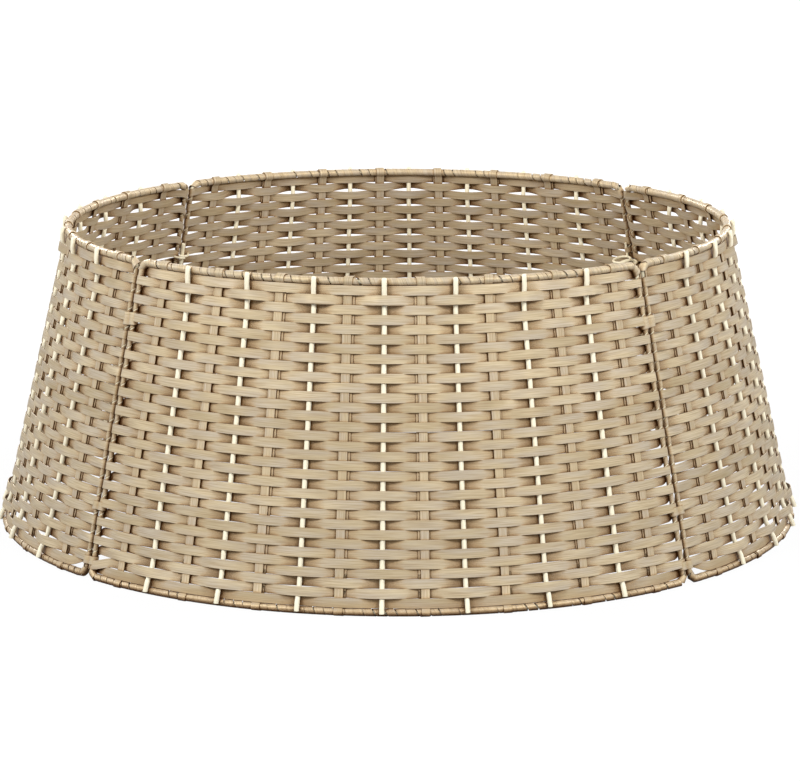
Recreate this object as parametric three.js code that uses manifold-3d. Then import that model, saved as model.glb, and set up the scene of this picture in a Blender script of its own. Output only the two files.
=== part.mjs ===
// A woven tree collar: a tapered ring of four alike panels, joined at four seams.
// Millimetres, +Z up, origin on the floor in the middle of the ring, front panel towards -Y.

import * as THREE from 'three';
import { mergeVertices } from 'three/addons/utils/BufferGeometryUtils.js';
import Module from 'manifold-3d';

// The ring
const bottomDiameter = 700; // outside of the bottom rim
const topDiameter = 580; // outside of the top rim
const collarHeight = 260;

// Each panel's wire frame and what is wound on it
const wireDiameter = 3.5;
const rimDiameter = 6.6; // a rim wire with its wrap
const rodDiameter = 6; // a side rod with the strip turned round it
const cornerRadius = 8; // bend of the wire's middle line
const wrapTail = 2; // of a rim's wrap along the side rod, past the corner
const seamGap = 1.2; // between the bound rods of two panels
const floorFlat = 0.5; // how deep the bottom rim is pressed flat

// The web and its stakes
const webThickness = 5.1;
const caneCount = 7;
const caneDiameter = 3.6;
const caneLeadLength = 14; // from a rim's middle to where a cane starts to bend outwards
const caneTopAngle = THREE.MathUtils.degToRad(35); // how far a cane goes round the top rim
const caneBottomAngle = THREE.MathUtils.degToRad(10);

// The seams: a height is up the slope from the bottom rim, a depth is down it from the top rim
const stripThickness = 0.8;
const tieWidth = 7;
const bottomTieHeight = 13;
const lowerTieHeight = 58;
const upperTieDepth = 46.9;
const lowerRingHeight = 80;
const upperRingDepth = 70;
const ringCaneDiameter = 2.2;
const pegDiameter = 3.6;
const pegAboveRing = 12;
const pegBelowRing = 34;
const pegChamfer = 0.8;
const catchTailLength = 14; // of a catch ring's straight end, bound to its rod
const catchBandWidth = 5;

const clearance = 0.3; // between pieces that touch

// Counts
const wireSides = 6;
const boreSides = 6;
const wrapSides = 8;
const caneSides = 5;
const cornerSteps = 3;
const ringSides = 20;
const pegSides = 8;
const bandArcSides = 4; // of a band's half turn round one rod

const panelHalfAngle = Math.PI / 4;
const panelAngle = 2 * panelHalfAngle;

const wireRadius = wireDiameter / 2;
const rimRadius = rimDiameter / 2;
const rodRadius = rodDiameter / 2;
const caneRadius = caneDiameter / 2;
const pegRadius = pegDiameter / 2;
const ringCaneRadius = ringCaneDiameter / 2;
const halfWeb = webThickness / 2;
const boreRadius = (wireRadius + clearance) / Math.cos(Math.PI / boreSides);

const bottomRadius = bottomDiameter / 2 - rimRadius;
const topRadius = topDiameter / 2 - rimRadius;
const bottomLevel = rimRadius - floorFlat;
const topLevel = collarHeight - rimRadius;
const inset = bottomRadius - topRadius;
const rise = topLevel - bottomLevel;
const slopeLength = Math.hypot(inset, rise);
const lean = Math.atan2(inset, rise);
const rodOffset = seamGap / 2 + rodRadius; // from a seam's middle to a rod's
const caneSteps = caneCount + 1; // of a panel, from rod to rod
const tiePlaces = {
  bottom: bottomTieHeight,
  lower: lowerTieHeight,
  upper: slopeLength - upperTieDepth,
};
const ringPlaces = { lower: lowerRingHeight, upper: slopeLength - upperRingDepth };

const ringInnerRadius = (rodOffset + rodRadius + clearance) / Math.cos(Math.PI / ringSides);
const ringRadius = ringInnerRadius + ringCaneRadius;
const ringOuterRadius = ringRadius + ringCaneRadius;
const pegOffset = Math.sqrt((rodRadius + pegRadius + clearance) ** 2 - rodOffset ** 2);
const tieRadius = (rodRadius + clearance) / Math.cos(Math.PI / (2 * bandArcSides)); // inside a tie's bends
const tieNotchRadius = tieRadius + stripThickness + 3 * clearance;
const ringNotchRadius = ringOuterRadius + rodOffset / 2 + clearance;

const materials = {
  wire: new THREE.MeshStandardMaterial({ color: '#e6dcbe', roughness: 0.5, metalness: 0 }),
  strip: new THREE.MeshStandardMaterial({ color: '#c9b594', roughness: 0.6, metalness: 0 }),
  cane: new THREE.MeshStandardMaterial({ color: '#f1e6bf', roughness: 0.55, metalness: 0 }),
};

const wasm = await Module();
wasm.setup();

/** The closed solid of a geometry, with its shared corners merged. */
function solidOf(geometry) {
  const bare = geometry.clone();
  bare.deleteAttribute('normal');
  bare.deleteAttribute('uv');
  const merged = mergeVertices(bare);
  const mesh = new wasm.Mesh({
    numProp: 3,
    vertProperties: new Float32Array(merged.attributes.position.array),
    triVerts: new Uint32Array(merged.index.array),
  });
  return new wasm.Manifold(mesh);
}

/** The geometry of a solid. */
function geometryOf(solid) {
  const mesh = solid.getMesh();
  const geometry = new THREE.BufferGeometry();
  geometry.setAttribute('position', new THREE.Float32BufferAttribute(mesh.vertProperties, 3));
  geometry.setIndex(new THREE.Uint32BufferAttribute(mesh.triVerts, 1));
  geometry.computeVertexNormals();
  return geometry;
}

/** A path through a list of points, with one step from each point to the next. */
class PointPath extends THREE.Curve {
  constructor(points, closed = false) {
    super();
    this.points = points;
    this.closed = closed;
    this.steps = closed ? points.length : points.length - 1;
  }

  at(index) {
    return this.points[index % this.points.length];
  }

  getPoint(share, target = new THREE.Vector3()) {
    const place = share * this.steps;
    const index = Math.min(Math.floor(place), this.steps - 1);
    return target.lerpVectors(this.at(index), this.at(index + 1), place - index);
  }

  getTangent(share, target = new THREE.Vector3()) {
    const index = Math.round(share * this.steps);
    const isFirst = index === 0 && !this.closed;
    const isLast = index === this.steps && !this.closed;
    const before = new THREE.Vector3();
    const after = new THREE.Vector3();
    if (!isFirst) {
      before.subVectors(this.at(index), this.at(index + this.points.length - 1)).normalize();
    }
    if (!isLast) {
      after.subVectors(this.at(index + 1), this.at(index)).normalize();
    }
    return target.addVectors(before, after).normalize();
  }

  getPointAt(share, target) {
    return this.getPoint(share, target);
  }

  getTangentAt(share, target) {
    return this.getTangent(share, target);
  }

  getSpacedPoints(divisions) {
    return this.getPoints(divisions);
  }
}

/** A level arc round the ring's middle, which a section can be swept along. */
class LevelArc extends THREE.Curve {
  constructor(radius, height, startAngle, endAngle) {
    super();
    Object.assign(this, { radius, height, startAngle, endAngle });
  }

  angleAt(share) {
    return THREE.MathUtils.lerp(this.startAngle, this.endAngle, share);
  }

  getPoint(share, target = new THREE.Vector3()) {
    const angle = this.angleAt(share);
    return target.set(this.radius * Math.sin(angle), -this.radius * Math.cos(angle), this.height);
  }

  getTangent(share, target = new THREE.Vector3()) {
    const angle = this.angleAt(share);
    return target.set(Math.cos(angle), Math.sin(angle), 0);
  }

  getPointAt(share, target) {
    return this.getPoint(share, target);
  }

  getTangentAt(share, target) {
    return this.getTangent(share, target);
  }

  getSpacedPoints(divisions) {
    return this.getPoints(divisions);
  }
}

/** Radius and height of the tapered wall, at a distance up its slope and a lift off its middle. */
function wallPlace(slope, lift = 0) {
  const share = slope / slopeLength;
  return {
    radius: bottomRadius - inset * share + lift * Math.cos(lean),
    height: bottomLevel + rise * share + lift * Math.sin(lean),
  };
}

/** A point of the wall at an angle from the front panel's middle. */
function wallPoint(angle, slope, lift = 0) {
  const { radius, height } = wallPlace(slope, lift);
  return new THREE.Vector3(radius * Math.sin(angle), -radius * Math.cos(angle), height);
}

/** The angle, from the panel's middle, of a line beside its seam. */
function angleBesideSeam(side, offset, slope) {
  return side * (panelHalfAngle - Math.asin(offset / wallPlace(slope).radius));
}

/** The angle of a cane, counted from 1 at the panel's left; the rods are 0 and caneSteps. */
function caneAngle(index) {
  const edge = angleBesideSeam(1, rodOffset, slopeLength / 2);
  return THREE.MathUtils.lerp(-edge, edge, index / caneSteps);
}

/** The points of a rounded corner, from the side rod to the rim. */
function cornerPoints(side, isTop) {
  const points = [];
  for (let step = 0; step <= cornerSteps; step += 1) {
    const turn = (step / cornerSteps) * (Math.PI / 2);
    const along = cornerRadius * (1 - Math.cos(turn));
    const up = cornerRadius * (1 - Math.sin(turn));
    const slope = isTop ? slopeLength - up : up;
    points.push(wallPoint(angleBesideSeam(side, rodOffset + along, slope), slope));
  }
  return points;
}

/** The points of a rim and its two corners, from the left rod to the right one. */
function rimPoints(isTop) {
  const slope = isTop ? slopeLength : 0;
  const crossings = [];
  for (let index = 1; index <= caneCount; index += 1) {
    crossings.push(wallPoint(caneAngle(index), slope));
  }
  return [...cornerPoints(-1, isTop), ...crossings, ...cornerPoints(1, isTop).reverse()];
}

/** A point of a side rod's middle line. */
function rodPoint(side, slope) {
  return wallPoint(angleBesideSeam(side, rodOffset, slope), slope);
}

/** A length of a side rod's middle line. */
function rodPath(side, fromSlope, toSlope) {
  return new PointPath([rodPoint(side, fromSlope), rodPoint(side, toSlope)]);
}

/** A point of a side rod, at a distance from the bottom rim or the top one. */
function rodPointNearRim(side, isTop, distance) {
  return rodPoint(side, isTop ? slopeLength - distance : distance);
}

/** The corners of a round outline, on its radius. */
function roundOutline(radius, sides) {
  const middle = new THREE.Vector2();
  const points = [];
  for (let index = 0; index < sides; index += 1) {
    const angle = (index / sides) * 2 * Math.PI;
    points.push(new THREE.Vector2(radius, 0).rotateAround(middle, angle));
  }
  return points;
}

/** A shape swept along a path, one ring of corners for each of the path's points. */
function sweep(shape, path, steps = path.steps) {
  return new THREE.ExtrudeGeometry(shape, { steps, extrudePath: path });
}

function tube(path, radius, sides) {
  return sweep(new THREE.Shape(roundOutline(radius, sides)), path);
}

/** The closed loop of wire that holds a panel's shape. */
function frameWire() {
  const points = [...rimPoints(false), ...rimPoints(true).reverse()];
  return new THREE.TubeGeometry(new PointPath(points, true), points.length, wireRadius, wireSides, true);
}

/** The strip wound round a rim and its corners, as a tube with the wire's bore. */
function rimWrap(isTop) {
  const shape = new THREE.Shape(roundOutline(rimRadius, wrapSides));
  shape.holes.push(new THREE.Path(roundOutline(boreRadius, boreSides)));
  const tailEnd = cornerRadius + wrapTail;
  const ends = [-1, 1].map((side) => rodPointNearRim(side, isTop, tailEnd));
  const wrap = sweep(shape, new PointPath([ends[0], ...rimPoints(isTop), ends[1]]));
  if (isTop) {
    return wrap;
  }
  const below = new THREE.BoxGeometry(bottomDiameter, bottomDiameter, rimDiameter);
  below.translate(0, -bottomRadius, -rimRadius);
  return geometryOf(solidOf(wrap).subtract(solidOf(below)));
}

/** The middle line of a cane: between the weft's rows, and over the outside of both rims. */
function canePath(index) {
  const turnRadius = rimRadius + clearance + caneRadius;
  const bend = Math.asin(turnRadius / caneLeadLength);
  const tangentLength = turnRadius / Math.tan(bend);
  const tangentUp = tangentLength * Math.cos(bend);
  const tangentLift = tangentLength * Math.sin(bend);
  const angle = caneAngle(index);
  const onTurn = (rim, turn) =>
    wallPoint(angle, rim + turnRadius * Math.sin(turn), turnRadius * Math.cos(turn));
  return new PointPath([
    onTurn(0, -caneBottomAngle),
    wallPoint(angle, caneLeadLength - tangentUp, tangentLift),
    wallPoint(angle, caneLeadLength),
    wallPoint(angle, slopeLength - caneLeadLength),
    wallPoint(angle, slopeLength - caneLeadLength + tangentUp, tangentLift),
    onTurn(slopeLength, (caneTopAngle - bend) / 2),
    onTurn(slopeLength, caneTopAngle),
  ]);
}

/** The plain sheet that the weft and the flat stakes fill, from rod to rod. */
function webSheet() {
  const low = rimRadius + 2 * clearance;
  const high = slopeLength - low;
  const middle = wallPlace(slopeLength / 2);
  const corners = [[low, -halfWeb], [low, halfWeb], [high, halfWeb], [high, -halfWeb]];
  const outline = corners.map(([slope, lift]) => {
    const place = wallPlace(slope, lift);
    return new THREE.Vector2(middle.height - place.height, middle.radius - place.radius);
  });
  const arc = new LevelArc(middle.radius, middle.height, caneAngle(0), caneAngle(caneSteps));
  return solidOf(sweep(new THREE.Shape(outline), arc, caneSteps));
}

/**
 * The woven web: its sheet, with the strip's turns round the side rods as sleeves.
 * It has a tunnel for each cane, and a notch beside a rod where a tie or a ring goes round that rod.
 */
function wovenWeb(notches) {
  let web = webSheet();
  const cut = (path, radius, sides) => {
    web = web.subtract(solidOf(tube(path, radius, sides)));
  };
  const sleeveStart = cornerRadius + wrapTail + clearance;
  for (const side of [-1, 1]) {
    for (const isTop of [false, true]) {
      const start = rodPointNearRim(side, isTop, sleeveStart);
      cut(new PointPath([start, ...cornerPoints(side, isTop)]), rimRadius + 2 * clearance, wrapSides);
    }
  }
  for (const { side, slope, width, radius } of notches) {
    const halfWidth = width / 2 + clearance;
    cut(rodPath(side, slope - halfWidth, slope + halfWidth), radius, wrapSides);
  }
  for (const side of [-1, 1]) {
    const sleeve = tube(rodPath(side, sleeveStart, slopeLength - sleeveStart), rodRadius, wrapSides);
    web = web.add(solidOf(sleeve));
    cut(rodPath(side, 0, slopeLength), boreRadius, boreSides);
  }
  for (let index = 1; index <= caneCount; index += 1) {
    cut(canePath(index), caneRadius + clearance / Math.cos(Math.PI / caneSides), caneSides);
  }
  return geometryOf(web);
}

/** The outline of a band drawn tight round two circles, at a distance outside them. */
function bandOutline(first, second, distance) {
  const gap = new THREE.Vector2().subVectors(second.middle, first.middle);
  const heading = gap.angle();
  const turn = Math.acos((first.radius - second.radius) / gap.length());
  const arc = (rod, from, to) => {
    const points = [];
    for (let side = 0; side <= bandArcSides; side += 1) {
      const angle = THREE.MathUtils.lerp(from, to, side / bandArcSides);
      const reach = new THREE.Vector2(Math.cos(angle), Math.sin(angle));
      points.push(reach.multiplyScalar(rod.radius + distance).add(rod.middle));
    }
    return points;
  };
  const firstArc = arc(first, heading + turn, heading - turn + 2 * Math.PI);
  return [...firstArc, ...arc(second, heading - turn, heading + turn)];
}

/** A strip tied round two rods, as a band of the strip's thickness. */
function band(first, second, width) {
  const shape = new THREE.Shape(bandOutline(first, second, stripThickness));
  shape.holes.push(new THREE.Path(bandOutline(first, second, 0)));
  const geometry = new THREE.ExtrudeGeometry(shape, { depth: width, bevelEnabled: false });
  return geometry.translate(0, 0, -width / 2);
}

/** The tie of a seam: round both of its rods. */
function seamTie() {
  const first = { middle: new THREE.Vector2(0, -rodOffset), radius: tieRadius };
  const second = { middle: new THREE.Vector2(0, rodOffset), radius: tieRadius };
  return band(first, second, tieWidth);
}

function caneRing() {
  return new THREE.TorusGeometry(ringRadius, ringCaneRadius, caneSides, ringSides);
}

/** A cane peg, chamfered at both ends, with its ring's level at zero. */
function seamPeg() {
  const outline = [
    [0, -pegBelowRing],
    [pegRadius - pegChamfer, -pegBelowRing],
    [pegRadius, -pegBelowRing + pegChamfer],
    [pegRadius, pegAboveRing - pegChamfer],
    [pegRadius - pegChamfer, pegAboveRing],
    [0, pegAboveRing],
  ];
  const points = outline.map(([x, y]) => new THREE.Vector2(x, y));
  return new THREE.LatheGeometry(points, pegSides).rotateX(Math.PI / 2);
}

const catchTailPlace = rodRadius + clearance + ringCaneRadius; // inwards from its rod's middle
const catchRingLift = ringCaneRadius + clearance / 2; // of a catch ring's middle off the catch's level
const catchBandLift = catchRingLift + catchTailLength / 2;

/** A catch ring on the inner side of a rod: a cane bent round, with its straight end along the rod. */
function catchRing(direction) {
  const tail = new THREE.CylinderGeometry(ringCaneRadius, ringCaneRadius, catchTailLength, caneSides);
  tail.rotateX(Math.PI / 2);
  tail.translate(-catchTailPlace, 0, (direction * catchTailLength) / 2);
  const ring = caneRing().translate(-catchTailPlace - ringRadius, 0, 0);
  return geometryOf(solidOf(ring).add(solidOf(tail)));
}

/** The strip band that binds a catch ring's straight end to its rod. */
function catchBand() {
  const rod = { middle: new THREE.Vector2(0, 0), radius: tieRadius };
  const tail = { middle: new THREE.Vector2(-catchTailPlace, 0), radius: ringCaneRadius + clearance };
  return band(rod, tail, catchBandWidth);
}

/** A group at a seam: x outwards from the wall, y round the ring anticlockwise, z up the seam. */
function seamGroup(azimuth, slope, offset = 0) {
  const level = new THREE.Vector3(Math.cos(azimuth), Math.sin(azimuth), 0);
  const along = new THREE.Vector3(-Math.sin(azimuth), Math.cos(azimuth), 0);
  const outwards = level.clone().multiplyScalar(Math.cos(lean)).setZ(Math.sin(lean));
  const up = new THREE.Vector3().crossVectors(outwards, along);
  const { radius, height } = wallPlace(slope);
  const place = level.multiplyScalar(radius).setZ(height).addScaledVector(along, offset);
  const group = new THREE.Group();
  group.applyMatrix4(new THREE.Matrix4().makeBasis(outwards, along, up).setPosition(place));
  return group;
}

function addPiece(group, name, geometry, material, place = [0, 0, 0]) {
  const piece = new THREE.Mesh(geometry, material.clone());
  piece.name = name;
  piece.position.set(...place);
  group.add(piece);
}

const frontLeftSeam = -3 * panelHalfAngle;
const frontRightSeam = -panelHalfAngle;
const backRightSeam = panelHalfAngle;
const backLeftSeam = 3 * panelHalfAngle;

const tieNotch = { width: tieWidth, radius: tieNotchRadius };
const ringNotch = { width: ringCaneDiameter, radius: ringNotchRadius };
const tieNotches = (side) => Object.values(tiePlaces).map((slope) => ({ side, slope, ...tieNotch }));
const ringNotches = (side) => Object.values(ringPlaces).map((slope) => ({ side, slope, ...ringNotch }));
const catchNotch = (side, direction) => ({
  side,
  slope: ringPlaces.upper + direction * catchBandLift,
  width: catchBandWidth,
  radius: tieNotchRadius,
});

// A panel's side is -1 for its left rod and 1 for its right one, seen from outside the ring.
const panels = [
  { name: 'front', turn: 0, notches: [...tieNotches(-1), ...tieNotches(1)] },
  { name: 'right', turn: panelAngle, notches: [...tieNotches(-1), catchNotch(1, -1)] },
  { name: 'back', turn: 2 * panelAngle, notches: [catchNotch(-1, 1), ...ringNotches(1)] },
  { name: 'left', turn: 3 * panelAngle, notches: [...ringNotches(-1), ...tieNotches(1)] },
];

function addPanel(collar, { name, turn, notches }) {
  const panel = new THREE.Group();
  panel.rotation.z = turn;
  addPiece(panel, `${name}_frame_wire`, frameWire(), materials.wire);
  addPiece(panel, `${name}_woven_web`, wovenWeb(notches), materials.strip);
  addPiece(panel, `${name}_top_rim_wrap`, rimWrap(true), materials.strip);
  addPiece(panel, `${name}_bottom_rim_wrap`, rimWrap(false), materials.strip);
  for (let index = 1; index <= caneCount; index += 1) {
    const cane = tube(canePath(index), caneRadius, caneSides);
    addPiece(panel, `${name}_cane_stake_${index}`, cane, materials.cane);
  }
  collar.add(panel);
}

/** The strip ties that join a side panel to the front panel. */
function addTies(collar, panelName, seam) {
  for (const [level, slope] of Object.entries(tiePlaces)) {
    const group = seamGroup(seam, slope);
    addPiece(group, `${panelName}_seam_tie_${level}`, seamTie(), materials.strip);
    collar.add(group);
  }
}

/** The rings round both rods of the back left seam, each with its peg. */
function addRingsAndPegs(collar) {
  for (const [level, slope] of Object.entries(ringPlaces)) {
    const group = seamGroup(backLeftSeam, slope);
    addPiece(group, `seam_ring_${level}`, caneRing(), materials.cane);
    addPiece(group, `seam_peg_${level}`, seamPeg(), materials.cane, [-pegOffset, 0, 0]);
    collar.add(group);
  }
}

/** The open catch of the back right seam: one ring on each panel, one above the other. */
function addCatch(collar, panelName, direction) {
  const group = seamGroup(backRightSeam, ringPlaces.upper, direction * rodOffset);
  const ringPlace = [0, 0, direction * catchRingLift];
  const bandPlace = [0, 0, direction * catchBandLift];
  addPiece(group, `${panelName}_catch_ring`, catchRing(direction), materials.cane, ringPlace);
  addPiece(group, `${panelName}_catch_band`, catchBand(), materials.strip, bandPlace);
  collar.add(group);
}

const collar = new THREE.Group();
for (const panel of panels) {
  addPanel(collar, panel);
}
addTies(collar, 'left', frontLeftSeam);
addTies(collar, 'right', frontRightSeam);
addRingsAndPegs(collar);
addCatch(collar, 'back', 1);
addCatch(collar, 'right', -1);

export default collar;
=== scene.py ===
"""The looks of a woven tree collar: four panels of flat strip and round cane, joined at four seams."""

import math

import bmesh
import bpy
import numpy as np
from bpy.props import FloatProperty, FloatVectorProperty, IntProperty, PointerProperty
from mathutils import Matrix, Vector


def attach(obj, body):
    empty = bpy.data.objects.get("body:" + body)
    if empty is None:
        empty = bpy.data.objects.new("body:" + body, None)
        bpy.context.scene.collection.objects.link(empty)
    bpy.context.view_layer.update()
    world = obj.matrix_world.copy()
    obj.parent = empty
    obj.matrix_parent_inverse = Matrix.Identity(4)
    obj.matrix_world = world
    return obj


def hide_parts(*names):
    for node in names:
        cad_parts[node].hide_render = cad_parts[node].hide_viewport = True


bl_info = {
    "name": "Woven Tree Collar",
    "version": (1, 0, 0),
    "blender": (4, 5, 0),
    "location": "3D View > Sidebar > Collar",
    "description": "Weaves the panels of a tree collar and joins them at their seams",
    "category": "Add Mesh",
}

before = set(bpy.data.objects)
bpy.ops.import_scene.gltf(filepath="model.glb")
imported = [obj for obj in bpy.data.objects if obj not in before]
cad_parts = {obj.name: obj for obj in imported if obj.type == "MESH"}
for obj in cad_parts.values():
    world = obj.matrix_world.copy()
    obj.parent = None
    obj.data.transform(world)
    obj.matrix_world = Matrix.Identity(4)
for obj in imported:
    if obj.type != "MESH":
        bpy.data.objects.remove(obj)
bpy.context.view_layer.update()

# The panels in the order of their turn round the ring, from the front one, and the seams between them
PANELS = ("front", "right", "back", "left")
PANEL_HALF_ANGLE = math.pi / 4
FRONT_LEFT_SEAM = -PANEL_HALF_ANGLE
FRONT_RIGHT_SEAM = PANEL_HALF_ANGLE
BACK_RIGHT_SEAM = 3 * PANEL_HALF_ANGLE
BACK_LEFT_SEAM = -3 * PANEL_HALF_ANGLE

# Seeds of the random numbers of each kind of piece, to which a panel's place in the ring is added
WEFT_SEED, STAKE_SEED, CANE_SEED, BINDING_SEED, TIE_SEED, CATCH_SEED = range(0, 60, 10)

# Corners of a strip's section and of a cane's, as shares of its half width and half thickness
STRIP_SECTION = (
    (1, 0.4), (0.96, 1), (-0.96, 1), (-1, 0.4), (-1, -0.4), (-0.96, -1), (0.96, -1), (1, -0.4),
)
CANE_SIDES = 10
CANE_SECTION = tuple(
    (math.cos(2 * math.pi * side / CANE_SIDES), math.sin(2 * math.pi * side / CANE_SIDES))
    for side in range(CANE_SIDES)
)
SHARP_ANGLE = math.radians(40)  # between faces that meet in an edge, not in a bend
WELD_SHARE = 0.01  # of a straight tube's step, within which its corners are one
TINT = "tint"
EVEN_TINT = 0.5  # of canes and wires, whose looks have no shades
STRIP_UV = "strip_uv"

# The long woven strip. What has a reach fades away from the rod over that distance. Here and below, each
# piece or length takes a value of its own from a range in brackets
SAMPLES_BETWEEN_STAKES = 6
SAMPLES_BESIDE_ROD = 14
TURN_SAMPLES = 12
STEPPING_OUTSIDE = ("back",)  # panels whose strip steps down on the outside, where that is seen less
ROD_DROP_SHARE = 0.3  # of the step between two rows, what the strip steps down beside the rod
ROD_DROP_REACH = 0.0058
RINGED_SIDES = {"back": 1, "left": -1}  # the side of a panel that has rings round its rod
PARTING = 0.0014  # how far a ring pushes a row aside
PARTING_HEIGHT = 0.010  # above and below the ring, where that fades away
PARTING_START = 0.008  # from the rod
PARTING_END = 0.030
# Row ends that have slipped: the panel and the row counted from the bottom, with the side and the slip
SLIPPED_ENDS = {("front", 1): (-1, -0.0055), ("left", 0): (1, 0.0075), ("right", 0): (-1, 0.0075)}
SLIP_REACH = 0.024
NARROWING = 0.16  # most that a row narrows at its ends, as a share of its width
NARROWING_REACH = 0.028
RIM_ROW_LIFT = 0.0020  # of the first and last row over a flat stake
CANE_HOLD_PARTS = 3  # a row lies straight over a cane for this part of the diameter to each side
WEFT_LENGTH_SAMPLES = 305  # in each length that the long strip is joined from
WEFT_TINTS = (0.2, 1.0)
WEFT_WIDTH_DRIFT = 0.03
WEFT_WIDTH_STAKES = 4  # how many stakes a width lasts
WEFT_LEAN = math.radians(3)  # most that the strip rolls about its line

# Flat stakes
STAKE_RIM_SAMPLES = 9
STAKE_WEB_SAMPLES = 14
STAKE_EASE_SAMPLES = 5
STAKE_OVERLAP_SAMPLES = 3
STAKE_EASE = 0.0050  # from a rim's middle, where a flat stake's layers have come together
STAKE_OVERLAP = 0.0300  # of a flat stake's two ends, on the inside
STAKE_SLACK = 0.0003  # most that a flat stake stands off the top of a rim
STAKE_SLACK_SHARES = (0.3, 1)
STAKE_SHIFT_SHARES = (0.5, 1)
STAKE_TINTS = (0.45, 0.95)
STAKE_WIDTH_SHARES = (0.96, 1.04)

# Round canes
CANE_WEB_SAMPLES = 40
CANE_RIM_SAMPLES = 6
CANE_TOP_ANGLE = math.radians(25)  # how far a cane goes round the top rim
CANE_BOTTOM_ANGLE = math.radians(10)
CANE_WANDER_SAMPLES = 6
CANE_DIAMETER_SHARES = (0.95, 1.03)

# Rim and rod bindings. A drift is the most that a value strays from its mean, as a share
CORNER_SAMPLES = 8
RIM_SAMPLES = 160
ROD_SAMPLES = 30
BINDING_TURN_SAMPLES = 13
RIM_TAIL = 0.0020  # of the rim's binding along a side rod, past the corner
BINDING_SINK = 1.1  # of the strip's middle into the rim's radius, in half thicknesses
BINDING_SINK_DRIFT = 0.12
BINDING_PACE_DRIFT = 0.25
BINDING_WIDTH_DRIFT = 0.05
BINDING_LEAN = math.radians(1.2)  # because its edge lies on the turn before
BINDING_LEAN_DRIFT = 0.6
BINDING_TINT = 0.95  # the rims are paler than the rows
BINDING_TINT_DRIFT = 0.2
BINDING_TINT_TURNS = 9  # how many turns a tint lasts
BAND_TINT = 0.7  # of the strip on the rods and on the catch rings' tails
SAME_PLACE = 1e-9

# Ties, rings, pegs and catches
TIE_TURNS = {"bottom": 1.25, "lower": 1.25, "upper": 2.25}
TIE_TURN_SAMPLES = 28
TIE_WAIST_SHARE = 0.45  # how far a tie is drawn in between the two rods
TIE_ADVANCE_SHARE = 0.9  # of its width, which a tie advances in a turn
TIE_CLEARANCE_PARTS = 3  # a tie's strip keeps this part of the clearance from the rods
TIE_TINTS = (0.5, 0.9)
TIE_WANDER = 0.0004
TIE_WANDER_SAMPLES = 9
RING_SAMPLES = 40
RING_LAP_SHARE = 1.12  # of a full turn, because the ends of a ring's cane lie side by side
RING_RISE_SHARE = 0.9  # of the cane's thickness, from one end to the other
PEG_TIP = 0.0006  # length of a peg's rounded end
PEG_TIP_SHARE = 0.7  # of its thickness, left at the end
PEG_WAIST = 0.0100  # below the ring, where a peg is a little thinner
PEG_WAIST_SHARE = 0.98
CATCH_BEND_SHARES = (0.15, 0.4, 1.0)  # of the tail, where its points are
CATCH_SLANT = 0.5  # of the direction across a catch ring's cane
CATCH_BAND_TURNS = 1.25
CATCH_BAND_SAMPLES = 30
CATCH_BAND_STRETCH = 0.28  # of the band round the tail, which lies outside the rod
CATCH_WANDER_SAMPLES = 7

# Materials. A pattern gives its spots in a metre along the strip and across it, and its detail
STRIP_GRAIN = (40, 1400, 2)  # lines 25 mm long and 0.7 mm wide, coarser than real ones so that they show
STRIP_SHADES = (25, 120, 3)  # a strip's shade wanders over about 40 mm of its length
STRIP_GREYING_AND_SHEEN = (16, 90, 2)  # and it has grey patches about 60 mm long, which show only on the crowns as painted sheen
CANE_GRAIN = (40, 3000, 2)  # lines 25 mm long and 0.3 mm wide
COAT_DIMPLES = 2000  # in a metre of the wire's coat, each about 0.5 mm across
SHADE_WANDER = 0.25
CROWDING_REACH = 0.015  # within which other strips count as near
CROWDING_SAMPLES = 4
STRIP_RELIEF = (0.0002, 0.35)  # depth of the grain and its strength
CANE_RELIEF = (0.0001, 0.2)
COAT_RELIEF = (0.0001, 0.15)
FIBRE_IOR = 1.5  # of plant fibre and of the wire's coat alike
FLOOR_ALBEDO = 0.3  # so that little light comes back from below
FLOOR_GLOW_SHARE = 0.85  # how much of the floor round the object is shown as plain white
FLOOR_GLOW = 1.12  # strength of that white
FLOOR_NEAR = 0.40  # from the middle, where that share starts to rise
FLOOR_FAR = 1.5  # from here outwards the floor is shown as plain white
FLOOR_SIZE = 12.0
VIEW_DEPTH = 50  # from the camera, past the far edge of the floor


def number(name, description, default, **kind):
    return FloatProperty(name=name, description=description, default=default, **kind)


def metres(name, description, default):
    return number(name, description, default, unit="LENGTH", precision=4)


def degrees(name, description, default):
    return number(name, description, math.radians(default), subtype="ANGLE")


def watts(name, description, default):
    return number(name, description, default, unit="POWER")


def linear(code):
    """The linear colour of an sRGB hex value."""
    channels = [int(code[place:place + 2], 16) / 255 for place in (1, 3, 5)]
    return [c / 12.92 if c <= 0.04045 else ((c + 0.055) / 1.055) ** 2.4 for c in channels]


def hex_colour(name, description, code):
    return FloatVectorProperty(
        name=name, description=description, default=(*linear(code), 1), size=4, subtype="COLOR", min=0, max=1
    )


class CollarSizes(bpy.types.PropertyGroup):
    """Sizes of the ring and of each panel's wire frame"""

    bottom_diameter: metres("Bottom diameter", "Outside of the bottom rim", 0.700)
    top_diameter: metres("Top diameter", "Outside of the top rim", 0.580)
    height: metres("Height", "From the floor to the top of the rim", 0.260)
    rim_diameter: metres("Rim diameter", "Rim wire with its binding", 0.0066)
    rod_diameter: metres("Side rod diameter", "Side rod with the strip round it", 0.0060)
    wire_diameter: metres("Wire diameter", "Coated wire of the frame", 0.0035)
    corner_radius: metres("Corner radius", "Bend of the frame's corners", 0.0080)
    seam_gap: metres("Seam gap", "Between the side rods of two panels", 0.0012)
    floor_flat: metres("Floor flat", "How far the bottom rim is pressed flat", 0.0005)


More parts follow.
